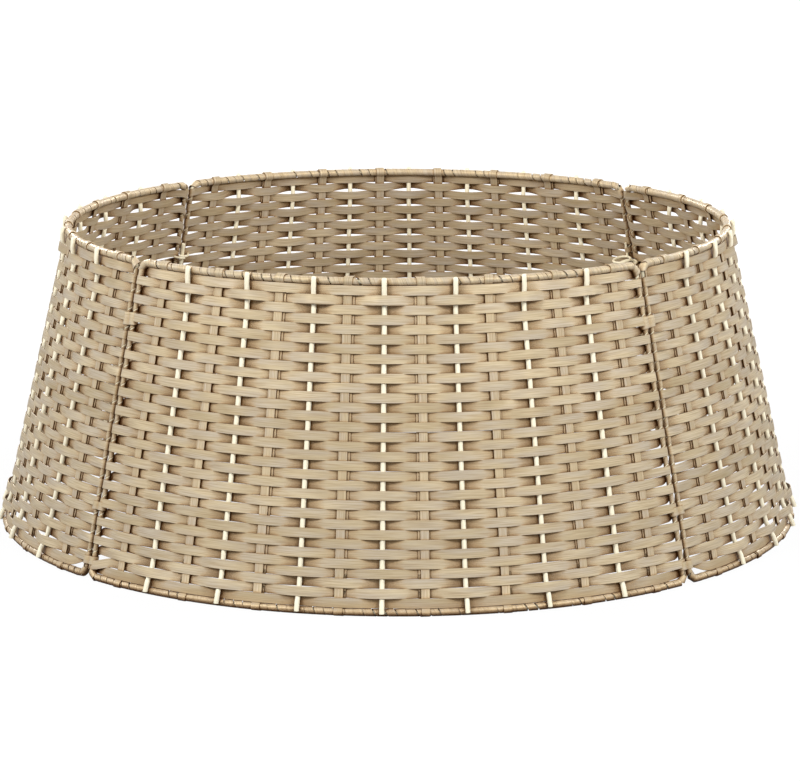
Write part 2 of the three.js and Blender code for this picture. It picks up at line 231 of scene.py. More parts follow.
class WeaveSizes(bpy.types.PropertyGroup):
    """Sizes of the strips and canes that are woven"""

    row_count: IntProperty(name="Rows", description="Rows of the woven strip", default=33, min=3)
    cane_count: IntProperty(name="Canes", description="Round stakes of each panel", default=7, min=1)
    strip_width: metres("Strip width", "Width of the woven strip", 0.0078)
    strip_thickness: metres("Strip thickness", "Thickness of every flat strip", 0.0008)
    stake_width: metres("Flat stake width", "Width of a flat stake's strip", 0.0070)
    stake_gap: metres("Flat stake gap", "Between the two layers of a flat stake", 0.0003)
    stake_shift: metres("Flat stake shift", "Most that the layers lie side by side", 0.0011)
    cane_diameter: metres("Cane diameter", "Thickness of a round stake", 0.0041)
    cane_lead: metres("Cane lead", "From a rim to where a cane starts to bend", 0.0240)
    binding_width: metres("Binding width", "Width of the strip round the rims", 0.0076)
    binding_pitch: metres("Binding pitch", "Advance of the rim binding in a turn", 0.0077)
    rod_binding_width: metres("Rod binding width", "Width of the thin strip on the rods", 0.0066)
    rod_binding_thickness: metres("Rod binding thickness", "Thickness of that strip", 0.0004)
    wander: metres("Wander", "How far a row strays from its line", 0.00015)


class SeamSizes(bpy.types.PropertyGroup):
    """Places and sizes of what joins the panels"""

    bottom_tie_height: metres("Bottom tie", "Up the slope from the bottom rim", 0.0130)
    lower_tie_height: metres("Lower tie", "Up the slope from the bottom rim", 0.0580)
    upper_tie_depth: metres("Upper tie", "Down the slope from the top rim", 0.0469)
    tie_width: metres("Tie width", "Width of a tie's strip", 0.0068)
    lower_ring_height: metres("Lower ring", "Up the slope from the bottom rim", 0.0800)
    upper_ring_depth: metres("Upper ring", "Down the slope from the top rim", 0.0700)
    ring_radius: metres("Ring radius", "Middle of a ring's cane", 0.0081)
    ring_cane: metres("Ring cane", "Thickness of a ring's cane", 0.0022)
    peg_diameter: metres("Peg diameter", "Thickness of a peg", 0.0036)
    peg_above: metres("Peg above its ring", "Length above the ring", 0.0120)
    peg_below: metres("Peg below its ring", "Length below the ring", 0.0340)
    catch_tail: metres("Catch tail", "Straight end of a catch ring", 0.0140)
    catch_band: metres("Catch band", "Width of the strip that binds a catch", 0.0050)
    clearance: metres("Clearance", "Between pieces that touch", 0.0003)


class CollarColours(bpy.types.PropertyGroup):
    """Colours of the strip, the cane and the wire"""

    strip_light: hex_colour("Strip, light", "Palest strip", "#d2c2a3")
    strip_dark: hex_colour("Strip, dark", "Darkest strip", "#ad9d7e")
    strip_grain: hex_colour("Strip grain", "Fine lines along the strip", "#92785a")
    # Partly grey lengths of the strip and partly painted sheen: it is laid only on the open crowns
    strip_grey_and_sheen: hex_colour("Strip, grey", "Lengths that have gone grey", "#bcb2a3")
    # Painted warm shade: tan laid in the hollows for the light that the tan strips send into them
    strip_hollow_shade: hex_colour("Strip stain", "Warm tan of the hollows, where less light bleaches", "#b88a55")
    # Painted shade: dark brown laid where other strips crowd the strip and shadow falls between the rows
    strip_painted_shade: hex_colour("Strip dust", "Dust in the corners between the strips", "#4c290c")
    strip_gleam: hex_colour("Strip gleam", "Tint of the skin's satin gloss", "#ffe6b4")
    cane: hex_colour("Cane", "Peeled round cane", "#fff8e0")
    cane_grain: hex_colour("Cane grain", "Fine lines along the cane", "#efe2b8")
    wire: hex_colour("Wire", "Cream coat of the wire", "#e9dfc0")
    floor: hex_colour("Floor", "Floor and background", "#ffffff")


class StageSizes(bpy.types.PropertyGroup):
    """Camera and lamps"""

    distance: metres("Camera distance", "From the ring's middle", 2.9126)
    azimuth: degrees("Camera azimuth", "Turn to the right of the front", 2.08)
    elevation: degrees("Camera elevation", "Height over the ring's middle", 12.01)
    lens: number("Lens", "Focal length in millimetres", 148.5, unit="CAMERA")
    aim_right: metres("Aim right", "How far right of the middle the camera aims", 0.0019)
    aim_down: metres("Aim down", "How far below the middle the camera aims", 0.0239)
    lamp_distance: metres("Lamp distance", "From the ring's middle to a lamp", 2.6)
    lamp_size: metres("Lamp size", "Side of a lamp", 0.5)
    key_power: watts("Key lamps", "Power of each of the two main lamps", 34.5)
    key_azimuth: degrees("Key azimuth", "Turn of the main lamps to each side", 40)
    key_elevation: degrees("Key elevation", "Height of the main lamps", 33)
    side_power: watts("Side lamps", "Power of each of the two side lamps", 19)
    side_azimuth: degrees("Side azimuth", "Turn of the side lamps", 85)
    side_elevation: degrees("Side elevation", "Height of the side lamps and the back lamps", 25)
    back_power: watts("Back lamps", "Power of each of the two back lamps", 24)
    back_azimuth: degrees("Back azimuth", "Turn of the back lamps", 145)
    fill_power: watts("Fill lamp", "Power of the lamp over the camera", 6)
    inside_power: watts("Inside lamp", "Power of the lamp over the ring", 0.6)
    inside_height: metres("Inside lamp height", "Over the ring's middle", 0.5)
    inside_depth: metres("Inside lamp aim", "How far behind the middle it aims", 0.30)
    inside_colour: hex_colour("Inside lamp colour", "Warm, as light that tan strip sends back", "#ffe0b8")
    sky_strength: number("Sky", "Strength of the even light", 0.02)


def smooth(share):
    """A share from 0 to 1, eased at both ends."""
    share = np.clip(share, 0, 1)
    return share * share * (3 - 2 * share)


def unit(vectors):
    return vectors / np.linalg.norm(vectors, axis=-1, keepdims=True)


def run_along(points):
    """How far along a line each of its points lies."""
    return np.concatenate([[0], np.cumsum(np.linalg.norm(np.diff(points, axis=0), axis=1))])


def random_numbers(seed, panel):
    return np.random.default_rng(seed + PANELS.index(panel))


def drift(rng, count, step):
    """Slowly changing random values between -1 and 1, with a new one at about every step."""
    knots = np.arange(0, count + 2 * step, step)
    return np.interp(np.arange(count), knots, rng.uniform(-1, 1, len(knots)))


def panel_turn(panel):
    return PANELS.index(panel) * 2 * PANEL_HALF_ANGLE


class Collar:
    """A collar's sizes. A place on its wall is an angle round the ring, a slope up it and a lift off it."""

    def __init__(self, scene):
        sizes = scene.collar_sizes
        self.weave = scene.collar_weave
        self.seams = scene.collar_seams
        self.wire_diameter = sizes.wire_diameter
        self.rim_radius = sizes.rim_diameter / 2
        self.rod_radius = sizes.rod_diameter / 2
        self.corner_radius = sizes.corner_radius
        self.bottom_radius = sizes.bottom_diameter / 2 - self.rim_radius
        self.bottom_level = self.rim_radius - sizes.floor_flat
        self.inset = self.bottom_radius - (sizes.top_diameter / 2 - self.rim_radius)
        self.rise = sizes.height - self.rim_radius - self.bottom_level
        self.length = math.hypot(self.inset, self.rise)
        self.lean = math.atan2(self.inset, self.rise)
        self.rod_offset = sizes.seam_gap / 2 + self.rod_radius
        self.row_pitch = (self.length - 2 * self.rim_radius) / self.weave.row_count
        self.half_strip = self.weave.strip_thickness / 2
        self.ring_slopes = (self.seams.lower_ring_height, self.length - self.seams.upper_ring_depth)
        self.tie_radius = self.rod_radius + self.half_strip + self.seams.clearance / TIE_CLEARANCE_PARTS

    def radius(self, slope):
        return self.bottom_radius - self.inset * slope / self.length

    def along(self, angle):
        """Level direction along the wall, anticlockwise."""
        return np.stack([np.cos(angle), np.sin(angle), np.zeros_like(angle)], -1)

    def outwards(self, angle):
        """Level direction away from the ring's middle."""
        return np.stack([np.sin(angle), -np.cos(angle), np.zeros_like(angle)], -1)

    def facing(self, angle):
        """Direction square to the wall, on its outside."""
        return self.outwards(angle) * math.cos(self.lean) + np.array([0, 0, math.sin(self.lean)])

    def up(self, angle):
        """Direction up the slope."""
        return np.array([0, 0, math.cos(self.lean)]) - self.outwards(angle) * math.sin(self.lean)

    def point(self, angle, slope, lift=0, aside=0):
        """Points of the wall, with a lift off its middle and a shift along it."""
        slope, lift, aside = [np.asarray(values, float)[..., None] for values in (slope, lift, aside)]
        level = self.bottom_level + self.rise * slope / self.length
        middle = self.outwards(angle) * self.radius(slope) + np.array([0, 0, 1]) * level
        return middle + self.facing(angle) * lift + self.along(angle) * aside

    def beside_seam(self, side, offset, slope):
        """The angle, from a panel's middle, of a line beside its seam."""
        return side * (PANEL_HALF_ANGLE - np.arcsin(offset / self.radius(slope)))

    def rod_angle(self, side, slope):
        return self.beside_seam(side, self.rod_offset, slope)

    def rod_distance(self, side, angles, slopes):
        """How far points of a panel are from the rod on that side."""
        return np.abs(self.rod_angle(side, slopes) - angles) * self.radius(slopes)

    def stake_angle(self, share):
        """The angle, from a panel's middle, of a stake at that share of the way between the rods."""
        return self.rod_angle(1, self.length / 2) * (2 * share - 1)

    def cane_lift(self, slope):
        """How far a cane has left the wall's middle, on its way over a rim's outside."""
        to_rim = np.minimum(slope, self.length - slope)
        over_rim = self.rim_radius + self.weave.cane_diameter / 2
        return over_rim * (1 - smooth(to_rim / self.weave.cane_lead))


class Strand:
    """A line that a strip or a cane follows, with the direction across it and its shade."""

    def __init__(self, points, across, width, thickness, tint=EVEN_TINT, is_wound=False):
        count = len(points)
        steps = unit(np.gradient(points, axis=0))
        across = np.broadcast_to(across, points.shape)
        self.points = points
        self.facing = unit(np.cross(steps, across))
        # a strip that is wound lies flat on what it is wound round, with its width along that
        self.across = unit(across) if is_wound else np.cross(self.facing, steps)
        self.half_width = np.broadcast_to(np.asarray(width) / 2, count)
        self.half_thickness = np.broadcast_to(np.asarray(thickness) / 2, count)
        self.tint = np.broadcast_to(tint, count)
        self.run = run_along(points)

    def leaned(self, angle):
        """The same strand, with its section turned about its line."""
        angle = np.asarray(angle, float)[..., None]
        across = self.across * np.cos(angle) + self.facing * np.sin(angle)
        self.facing = self.facing * np.cos(angle) - self.across * np.sin(angle)
        self.across = across
        return self


def straight_tube(section, steps):
    """A straight closed tube, one unit long for each step, with its section in shares."""
    sides = len(section)
    bm = bmesh.new()
    bmesh.ops.create_grid(bm, x_segments=steps, y_segments=sides, size=0.5)
    for vert in bm.verts:
        ring = round((vert.co.x + 0.5) * steps)
        side = round((vert.co.y + 0.5) * sides) % sides
        vert.co = (ring, *section[side])
    bmesh.ops.remove_doubles(bm, verts=bm.verts, dist=WELD_SHARE)
    open_edges = [edge for edge in bm.edges if edge.is_boundary]
    bmesh.ops.holes_fill(bm, edges=open_edges, sides=sides)
    bmesh.ops.recalc_face_normals(bm, faces=bm.faces)
    mesh = bpy.data.meshes.new("straight_tube")
    bm.to_mesh(mesh)
    bm.free()
    return mesh


def lay(name, section, strands, material):
    """An object with a tube of that section laid along each strand. All strands have as many points."""
    tube = straight_tube(section, len(strands[0].points) - 1)
    corners = np.empty(len(tube.vertices) * 3)
    tube.vertices.foreach_get("co", corners)
    ring, across_share, facing_share = corners.reshape(-1, 3).T
    ring = ring.round().astype(int)
    bm = bmesh.new()
    for _ in strands:
        bm.from_mesh(tube)
    mesh = bpy.data.meshes.new(name)
    bm.to_mesh(mesh)
    bm.free()
    bpy.data.meshes.remove(tube)

    rows = []
    for strand in strands:
        sideways = across_share * strand.half_width[ring]
        outwards = facing_share * strand.half_thickness[ring]
        place = strand.points[ring] + strand.across[ring] * sideways[:, None]
        place = place + strand.facing[ring] * outwards[:, None]
        rows.append([*place.T, strand.tint[ring], strand.run[ring], sideways])
    *places, tints, runs, sides = np.concatenate(rows, axis=1)
    # what would go below the floor is pressed flat on it
    places[2] = np.maximum(places[2], 0)
    mesh.vertices.foreach_set("co", np.stack(places, 1).ravel())
    mesh.attributes.new(TINT, "FLOAT", "POINT").data.foreach_set("value", tints)
    loops = np.empty(len(mesh.loops), int)
    mesh.loops.foreach_get("vertex_index", loops)
    uv = np.stack([runs[loops], sides[loops]], 1)
    mesh.uv_layers.new(name=STRIP_UV).data.foreach_set("uv", uv.ravel())
    mesh.polygons.foreach_set("use_smooth", np.ones(len(mesh.polygons), bool))
    mesh.materials.append(material)
    mesh.update()
    mesh.set_sharp_from_angle(angle=SHARP_ANGLE)
    piece = bpy.data.objects.new(name, mesh)
    bpy.context.scene.collection.objects.link(piece)
    return piece


def add_node(tree, kind, inputs=None, **settings):
    """A node with its settings. Its inputs are values, or sockets or nodes that are linked to it."""
    node = tree.nodes.new(kind)
    for name, value in settings.items():
        setattr(node, name, value)
    for name, value in (inputs or {}).items():
        if isinstance(value, bpy.types.Node):
            value = value.outputs[0]
        if isinstance(value, bpy.types.NodeSocket):
            tree.links.new(value, node.inputs[name])
        else:
            node.inputs[name].default_value = value
    return node


def made_material(name, add_nodes):
    """The material of that name, which gets its nodes when it is first asked for."""
    material = bpy.data.materials.get(name)
    if material is None:
        material = bpy.data.materials.new(name)
        material.use_nodes = True
        material.node_tree.nodes.clear()
        add_nodes(material.node_tree, bpy.context.scene.collar_colours)
    return material


def streaks(tree, pattern):
    """Noise drawn out along the strip."""
    along, across, detail = pattern
    uv = add_node(tree, "ShaderNodeUVMap", uv_map=STRIP_UV)
    place = add_node(tree, "ShaderNodeMapping", {"Vector": uv.outputs["UV"], "Scale": (along, across, 1)})
    return add_node(tree, "ShaderNodeTexNoise", {"Vector": place, "Scale": 1, "Detail": detail})


def layered(tree, colour, layers):
    """A colour with others over it, each in a share from 0 to its most as a value goes from low to high."""
    for value, low, high, most, over in layers:
        share = add_node(
            tree, "ShaderNodeMapRange",
            {"Value": value, "From Min": low, "From Max": high, "To Max": most},
        )
        mix = add_node(tree, "ShaderNodeMix", {0: share, 6: colour, 7: over}, data_type="RGBA")
        colour = mix.outputs[2]
    return colour


def finish_surface(tree, height, relief, looks, invert=True):
    """The shader of a surface with its relief, in which high values lie deep unless invert is off."""
    depth, strength = relief
    bump = add_node(
        tree, "ShaderNodeBump", {"Height": height, "Strength": strength, "Distance": depth}, invert=invert
    )
    shader = add_node(tree, "ShaderNodeBsdfPrincipled", {"Normal": bump, "IOR": FIBRE_IOR, **looks})
    add_node(tree, "ShaderNodeOutputMaterial", {"Surface": shader})


def flat_strip(tree, colours):
    """Flat rattan strip, shaved and dried: fine lines along it, a satin sheen, each length its own shade,
    grey patches shown as painted sheen on its open crowns, painted warm shade in its hollows, and
    painted shade where the strips crowd each other."""
    tint = add_node(tree, "ShaderNodeAttribute", attribute_name=TINT)
    lines = streaks(tree, STRIP_GRAIN)
    shades = add_node(
        tree, "ShaderNodeMapRange",
        {"Value": streaks(tree, STRIP_SHADES), "From Min": 0.3, "From Max": 0.7,
         "To Min": -SHADE_WANDER, "To Max": SHADE_WANDER},
    )
    shade = add_node(tree, "ShaderNodeMath", {0: tint.outputs["Fac"], 1: shades}, operation="ADD")
    # this is 1 where nothing is near, and falls as the strips crowd each other
    room = add_node(
        tree, "ShaderNodeAmbientOcclusion", {"Distance": CROWDING_REACH}, samples=CROWDING_SAMPLES
    ).outputs["AO"]
    # painted sheen: the grey patches are let in only on the open crowns, where nothing is near
    crowns = add_node(
        tree, "ShaderNodeMapRange", {"Value": room, "From Min": 0.80, "From Max": 0.97, "To Max": 0.75}
    )
    # each row: a value, where on it the colour starts and is at its most, how much that is, and the colour
    colour = layered(tree, colours.strip_dark, (
        (shade, 0, 1, 1, colours.strip_light),
        (streaks(tree, STRIP_GREYING_AND_SHEEN), 0.42, 0.62, crowns, colours.strip_grey_and_sheen),
        # painted warm shade in the hollows, laid by how closely the strips crowd
        (room, 0.92, 0.70, 0.65, colours.strip_hollow_shade),
        (lines, 0.4, 0.7, 0.6, colours.strip_grain),
        # painted shade in the corners between the strips, darkest where they crowd each other most
        (room, 0.76, 0.56, 1, colours.strip_painted_shade),
    ))
    roughness = add_node(tree, "ShaderNodeMapRange", {"Value": lines, "To Min": 0.28, "To Max": 0.50})
    finish_surface(tree, lines, STRIP_RELIEF, {
        "Base Color": colour, "Roughness": roughness,
        "Specular IOR Level": 0.9, "Specular Tint": colours.strip_gleam,
    })


def peeled_cane(tree, colours):
    """Round rattan core, peeled and bleached: cream, smooth, with faint lines along it."""
    lines = streaks(tree, CANE_GRAIN)
    colour = layered(tree, colours.cane, ((lines, 0.4, 0.8, 0.7, colours.cane_grain),))
    finish_surface(tree, lines, CANE_RELIEF, {"Base Color": colour, "Roughness": 0.45})


def coated_wire(tree, colours):
    """Steel wire with a cream powder coat: even, with a soft gloss and a slight dimpling."""
    place = add_node(tree, "ShaderNodeTexCoord")
    dimples = add_node(
        tree, "ShaderNodeTexNoise", {"Vector": place.outputs["Object"], "Scale": COAT_DIMPLES, "Detail": 1}
    )
    looks = {"Base Color": colours.wire, "Roughness": 0.5}
    finish_surface(tree, dimples, COAT_RELIEF, looks, invert=False)


def white_floor(tree, colours):
    """A matt white studio floor, which shows the camera a white background and the object's shadow."""
    grey = [FLOOR_ALBEDO * channel for channel in colours.floor[:3]]
    matt = add_node(tree, "ShaderNodeBsdfDiffuse", {"Color": (*grey, 1)})
    glow = add_node(tree, "ShaderNodeEmission", {"Color": colours.floor, "Strength": FLOOR_GLOW})
    path = add_node(tree, "ShaderNodeLightPath")
    place = add_node(tree, "ShaderNodeTexCoord")
    distance = add_node(tree, "ShaderNodeVectorMath", {0: place.outputs["Object"]}, operation="LENGTH")
    glow_share = add_node(
        tree, "ShaderNodeMapRange",
        {"Value": distance.outputs["Value"], "From Min": FLOOR_NEAR, "From Max": FLOOR_FAR,
         "To Min": FLOOR_GLOW_SHARE},
    )
    seen = path.outputs["Is Camera Ray"]
    seen_share = add_node(tree, "ShaderNodeMath", {0: seen, 1: glow_share}, operation="MULTIPLY")
    mixed = add_node(tree, "ShaderNodeMixShader", {0: seen_share, 1: matt, 2: glow})
    add_node(tree, "ShaderNodeOutputMaterial", {"Surface": mixed})


FINISHES = {
    "strip": (STRIP_SECTION, "flat_rattan_strip", flat_strip),
    "cane": (CANE_SECTION, "peeled_round_cane", peeled_cane),
    "wire": (CANE_SECTION, "cream_coated_wire", coated_wire),
}


def add_piece(name, slot, strands, body, *nodes):
    """A piece in the section and finish of its slot, riding on its body, in place of those CAD nodes."""
    section, material_name, add_nodes = FINISHES[slot]
    piece = lay(name, section, strands, made_material(material_name, add_nodes))
    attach(piece, body)
    if nodes:
        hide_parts(*nodes)


def weft_row(collar, row, steps_outside, rng):
    """Angles, slopes and lifts of one row, from the left rod to the right one."""
    weave = collar.weave
    half = collar.half_strip
    slope = collar.length - collar.rim_radius - collar.row_pitch * (row - 0.5)
    is_upper = slope > collar.length / 2
    is_odd = row % 2 == 1
    stakes = 2 * (weave.cane_count + 1)
    slopes = slope + rng.uniform(-1, 1, stakes + 1) * weave.wander
    angles = collar.stake_angle(np.arange(stakes + 1) / stakes)
    angles[0] = collar.rod_angle(-1, slopes[0])
    angles[-1] = collar.rod_angle(1, slopes[-1])

    is_flat = np.arange(stakes + 1) % 2 == 1
    in_front = is_flat == is_odd
    over_rod = collar.rod_radius - half
    over_cane = weave.cane_diameter / 2 + half
    over_flat = weave.strip_thickness + weave.stake_gap / 2 + half
    if row in (1, weave.row_count):
        over_flat = RIM_ROW_LIFT
    # near a rim the canes lean outwards, so a row outside one clears it at the edge towards the rim,
    # and a row inside it at the other edge
    edges = slope + np.where(in_front == is_upper, 1, -1) * weave.strip_width / 2
    lifts = np.where(is_flat, over_flat, over_cane) * np.where(in_front, 1, -1)
    lifts += np.where(is_flat, 0, collar.cane_lift(edges))
    lifts[[0, -1]] = -over_rod if is_odd else over_rod
    holds = np.where(is_flat, weave.stake_width / 2, weave.cane_diameter / CANE_HOLD_PARTS)
    holds[[0, -1]] = 0

    knots = np.stack([angles, slopes, lifts])
    radius = collar.radius(slope)
    parts = []
    for stake in range(stakes):
        samples = SAMPLES_BESIDE_ROD if stake in (0, stakes - 1) else SAMPLES_BETWEEN_STAKES
        share = np.arange(samples) / samples
        gap = (angles[stake + 1] - angles[stake]) * radius
        free = gap - holds[stake] - holds[stake + 1]
        blends = np.stack([share, smooth(share), smooth((share * gap - holds[stake]) / free)])
        here = knots[:, stake, None]
        there = knots[:, stake + 1, None]
        parts.append(here + (there - here) * blends)
    row_angles, row_slopes, row_lifts = np.concatenate([*parts, knots[:, -1:]], axis=1)

    if is_odd != steps_outside:
        drop = collar.row_pitch * ROD_DROP_SHARE
        from_above, to_below = (angles[-1], angles[0]) if is_odd else (angles[0], angles[-1])
        if row > 1:
            row_slopes += drop * aslant(np.abs(row_angles - from_above) * radius)
        if row < weave.row_count:
            row_slopes -= drop * aslant(np.abs(row_angles - to_below) * radius)
    return row_angles, row_slopes, row_lifts


def aslant(distance):
    """Share of its step that the strip has still to go at that distance from the rod."""
    return (1 - np.clip(distance / ROD_DROP_REACH, 0, 1)) ** 2


def parted(collar, side, angles, slopes):
    """The slopes of a row, pushed aside where a ring passes between two rows beside a rod."""
    distance = collar.rod_distance(side, angles, slopes)
    near = 1 - smooth((distance - PARTING_START) / (PARTING_END - PARTING_START))
    for ring_slope in collar.ring_slopes:
        off = slopes - ring_slope
        slopes = slopes + np.sign(off) * PARTING * np.exp(-(off / PARTING_HEIGHT) ** 2) * near
    return slopes


def slipped(collar, panel, row, angles, slopes):
    """The slopes of a row, with its end moved where that has slipped."""
    side, slip = SLIPPED_ENDS.get((panel, collar.weave.row_count - row), (1, 0))
    return slopes + slip * (1 - smooth(collar.rod_distance(side, angles, slopes) / SLIP_REACH))


def row_width_shares(collar, angles, slopes, rng):
    """The share of the strip's width that a row has left, which narrows by chance at its ends."""
    shares = np.ones(len(angles))
    for side in (-1, 1):
        distance = collar.rod_distance(side, angles, slopes)
        shares -= NARROWING * rng.uniform() * (1 - smooth(distance / NARROWING_REACH))
    return shares


def weft_turn(collar, side, start, end, steps_outside):
    """The strip's turn round a side rod between two rows: angles, slopes, lifts, shifts and widths."""
    _, start_slope, _, _, start_width = start
    _, end_slope, _, _, end_width = end
    to_front = side < 0
    reach = collar.rod_radius - collar.half_strip
    from_front = np.arange(1, TURN_SAMPLES) / TURN_SAMPLES
    front_slope, back_slope = (end_slope, start_slope) if to_front else (start_slope, end_slope)
    if steps_outside:
        slopes = back_slope + (front_slope - back_slope) * np.clip(1 - 2 * from_front, 0, 1) ** 2
    else:
        slopes = front_slope + (back_slope - front_slope) * np.clip(2 * from_front - 1, 0, 1) ** 2
    lifts = reach * np.cos(math.pi * from_front)
    asides = side * reach * np.sin(math.pi * from_front)
    turn = np.stack([collar.rod_angle(side, slopes), slopes, lifts, asides])
    widths = np.linspace(start_width, end_width, TURN_SAMPLES + 1)[1:-1]
    return np.vstack([turn[:, ::-1] if to_front else turn, widths])


def weft_strand(collar, panel):
    """The long strip of a panel, woven to and fro down it from the top right corner."""
    weave = collar.weave
    rng = random_numbers(WEFT_SEED, panel)
    steps_outside = panel in STEPPING_OUTSIDE
    parts = []
    for row in range(1, weave.row_count + 1):
        angles, slopes, lifts = weft_row(collar, row, steps_outside, rng)
        if panel in RINGED_SIDES:
            slopes = parted(collar, RINGED_SIDES[panel], angles, slopes)
        slopes = slipped(collar, panel, row, angles, slopes)
        shares = row_width_shares(collar, angles, slopes, rng)
        part = np.stack([angles, slopes, lifts, np.zeros(len(angles)), shares])
        # odd rows go from right to left
        side = 1 if row % 2 == 1 else -1
        part = part[:, ::-side]
        if row > 1:
            parts.append(weft_turn(collar, side, parts[-1][:, -1], part[:, 0], steps_outside))
        parts.append(part)
    angles, slopes, lifts, asides, shares = np.concatenate(parts, axis=1)
    angles = angles + panel_turn(panel)
    points = collar.point(angles, slopes, lifts, asides)
    count = len(points)
    width_drift = drift(rng, count, WEFT_WIDTH_STAKES * SAMPLES_BETWEEN_STAKES)
    width = weave.strip_width * shares * (1 + WEFT_WIDTH_DRIFT * width_drift)
    length_tints = rng.uniform(*WEFT_TINTS, math.ceil(count / WEFT_LENGTH_SAMPLES))
    tint = np.repeat(length_tints, WEFT_LENGTH_SAMPLES)[:count]
    strand = Strand(points, collar.up(angles), width, weave.strip_thickness, tint, is_wound=True)
    return strand.leaned(WEFT_LEAN * drift(rng, count, SAMPLES_BETWEEN_STAKES))


class WeaveWeft(bpy.types.Operator):
    """Weave the long flat strip of every panel"""

    bl_idname = "collar.weave_weft"
    bl_label = "Woven Strip"

    def execute(self, context):
        collar = Collar(context.scene)
        for panel in PANELS:
            strand = weft_strand(collar, panel)
            add_piece(f"{panel}_woven_strip", "strip", [strand], panel, f"{panel}_woven_web")
        return {"FINISHED"}


def flat_stake_strand(collar, turn, share, rng):
    """A strip that goes up the outside, over the top rim, down the inside and round the bottom rim."""
    weave = collar.weave
    length = collar.length
    layer = collar.half_strip + weave.stake_gap / 2
    reach = collar.rim_radius + collar.half_strip
    slack = STAKE_SLACK * rng.uniform(*STAKE_SLACK_SHARES)
    shift = weave.stake_shift * rng.uniform(*STAKE_SHIFT_SHARES) * rng.choice((-1, 1))

    near = STAKE_EASE * np.linspace(0, 1, STAKE_EASE_SAMPLES)
    middle = np.linspace(STAKE_EASE, length - STAKE_EASE, STAKE_WEB_SAMPLES)[1:-1]
    climb = np.concatenate([near, middle, length - near[::-1]])
    overlap = np.linspace(STAKE_OVERLAP, STAKE_EASE, STAKE_OVERLAP_SAMPLES)[:-1]
    start = np.concatenate([overlap, near[::-1]])
    arc = math.pi * np.arange(1, STAKE_RIM_SAMPLES) / STAKE_RIM_SAMPLES
    inside, outside = -np.ones(len(climb)), np.ones(len(climb))

    # down the inside, round the bottom rim, up the outside, over the top rim and down the inside
    slopes = np.concatenate([
        start, -reach * np.sin(arc), climb, length + (reach + slack) * np.sin(arc), climb[::-1],
    ])
    sides = np.concatenate([inside[:len(start)], -np.cos(arc), outside, np.cos(arc), inside])
    # the layers come off a rim and then lie on each other
    to_rim = np.minimum(slopes, length - slopes)
    lifts = sides * (layer + (reach - layer) * (1 - smooth(to_rim / STAKE_EASE)))
    angles = np.full(len(slopes), collar.stake_angle(share) + turn)
    points = collar.point(angles, slopes, lifts, shift * sides)
    tint = rng.uniform(*STAKE_TINTS)
    width = weave.stake_width * rng.uniform(*STAKE_WIDTH_SHARES)
    return Strand(points, collar.along(angles), width, weave.strip_thickness, tint)


class SetFlatStakes(bpy.types.Operator):
    """Fold the flat stakes of every panel round its rims"""

    bl_idname = "collar.set_flat_stakes"
    bl_label = "Flat Stakes"

    def execute(self, context):
        collar = Collar(context.scene)
        stakes = collar.weave.cane_count + 1
        shares = (2 * np.arange(stakes) + 1) / (2 * stakes)
        for panel in PANELS:
            rng = random_numbers(STAKE_SEED, panel)
            strands = [flat_stake_strand(collar, panel_turn(panel), share, rng) for share in shares]
            add_piece(f"{panel}_flat_stakes", "strip", strands, panel)
        return {"FINISHED"}


def cane_strand(collar, turn, share, rng):
    """A cane between the rows, which goes over the outside of both rims."""
    reach = collar.rim_radius + collar.weave.cane_diameter / 2
    low_turns = np.array([-CANE_BOTTOM_ANGLE, -CANE_BOTTOM_ANGLE / 2])
    high_turns = np.linspace(0, CANE_TOP_ANGLE, CANE_RIM_SAMPLES)[1:]
    climb = np.linspace(0, collar.length, CANE_WEB_SAMPLES)
    slopes = np.concatenate([reach * np.sin(low_turns), climb, collar.length + reach * np.sin(high_turns)])
    lifts = np.concatenate([reach * np.cos(low_turns), collar.cane_lift(climb), reach * np.cos(high_turns)])
    count = len(slopes)
    angles = np.full(count, collar.stake_angle(share) + turn)
    asides = collar.weave.wander * drift(rng, count, CANE_WANDER_SAMPLES)
    points = collar.point(angles, slopes, lifts, asides)
    diameter = collar.weave.cane_diameter * rng.uniform(*CANE_DIAMETER_SHARES)
    return Strand(points, collar.along(angles), diameter, diameter, rng.uniform())


class SetCaneStakes(bpy.types.Operator):
    """Stand the round canes of every panel between its rows"""

    bl_idname = "collar.set_cane_stakes"
    bl_label = "Cane Stakes"

    def execute(self, context):
        collar = Collar(context.scene)
        count = collar.weave.cane_count
        canes = range(1, count + 1)
        for panel in PANELS:
            rng = random_numbers(CANE_SEED, panel)
            turn = panel_turn(panel)
            strands = [cane_strand(collar, turn, cane / (count + 1), rng) for cane in canes]
            nodes = [f"{panel}_cane_stake_{cane}" for cane in canes]
            add_piece(f"{panel}_round_canes", "cane", strands, panel, *nodes)
        return {"FINISHED"}


def rim_line(collar, is_top, tail):
    """Angles and slopes of a rim with its corners, from the left rod to the right one."""
    turns = np.linspace(0, math.pi / 2, CORNER_SAMPLES)
    along = np.concatenate([[0], collar.corner_radius * (1 - np.cos(turns))])
    up = np.concatenate([[collar.corner_radius + tail], collar.corner_radius * (1 - np.sin(turns))])
    slopes = collar.length - up if is_top else up
    left = collar.beside_seam(-1, collar.rod_offset + along, slopes)
    middle = np.linspace(left[-1], -left[-1], RIM_SAMPLES)[1:-1]
    angles = np.concatenate([left, middle, -left[::-1]])
    level = np.full(len(middle), collar.length if is_top else 0)
    return angles, np.concatenate([slopes, level, slopes[::-1]])


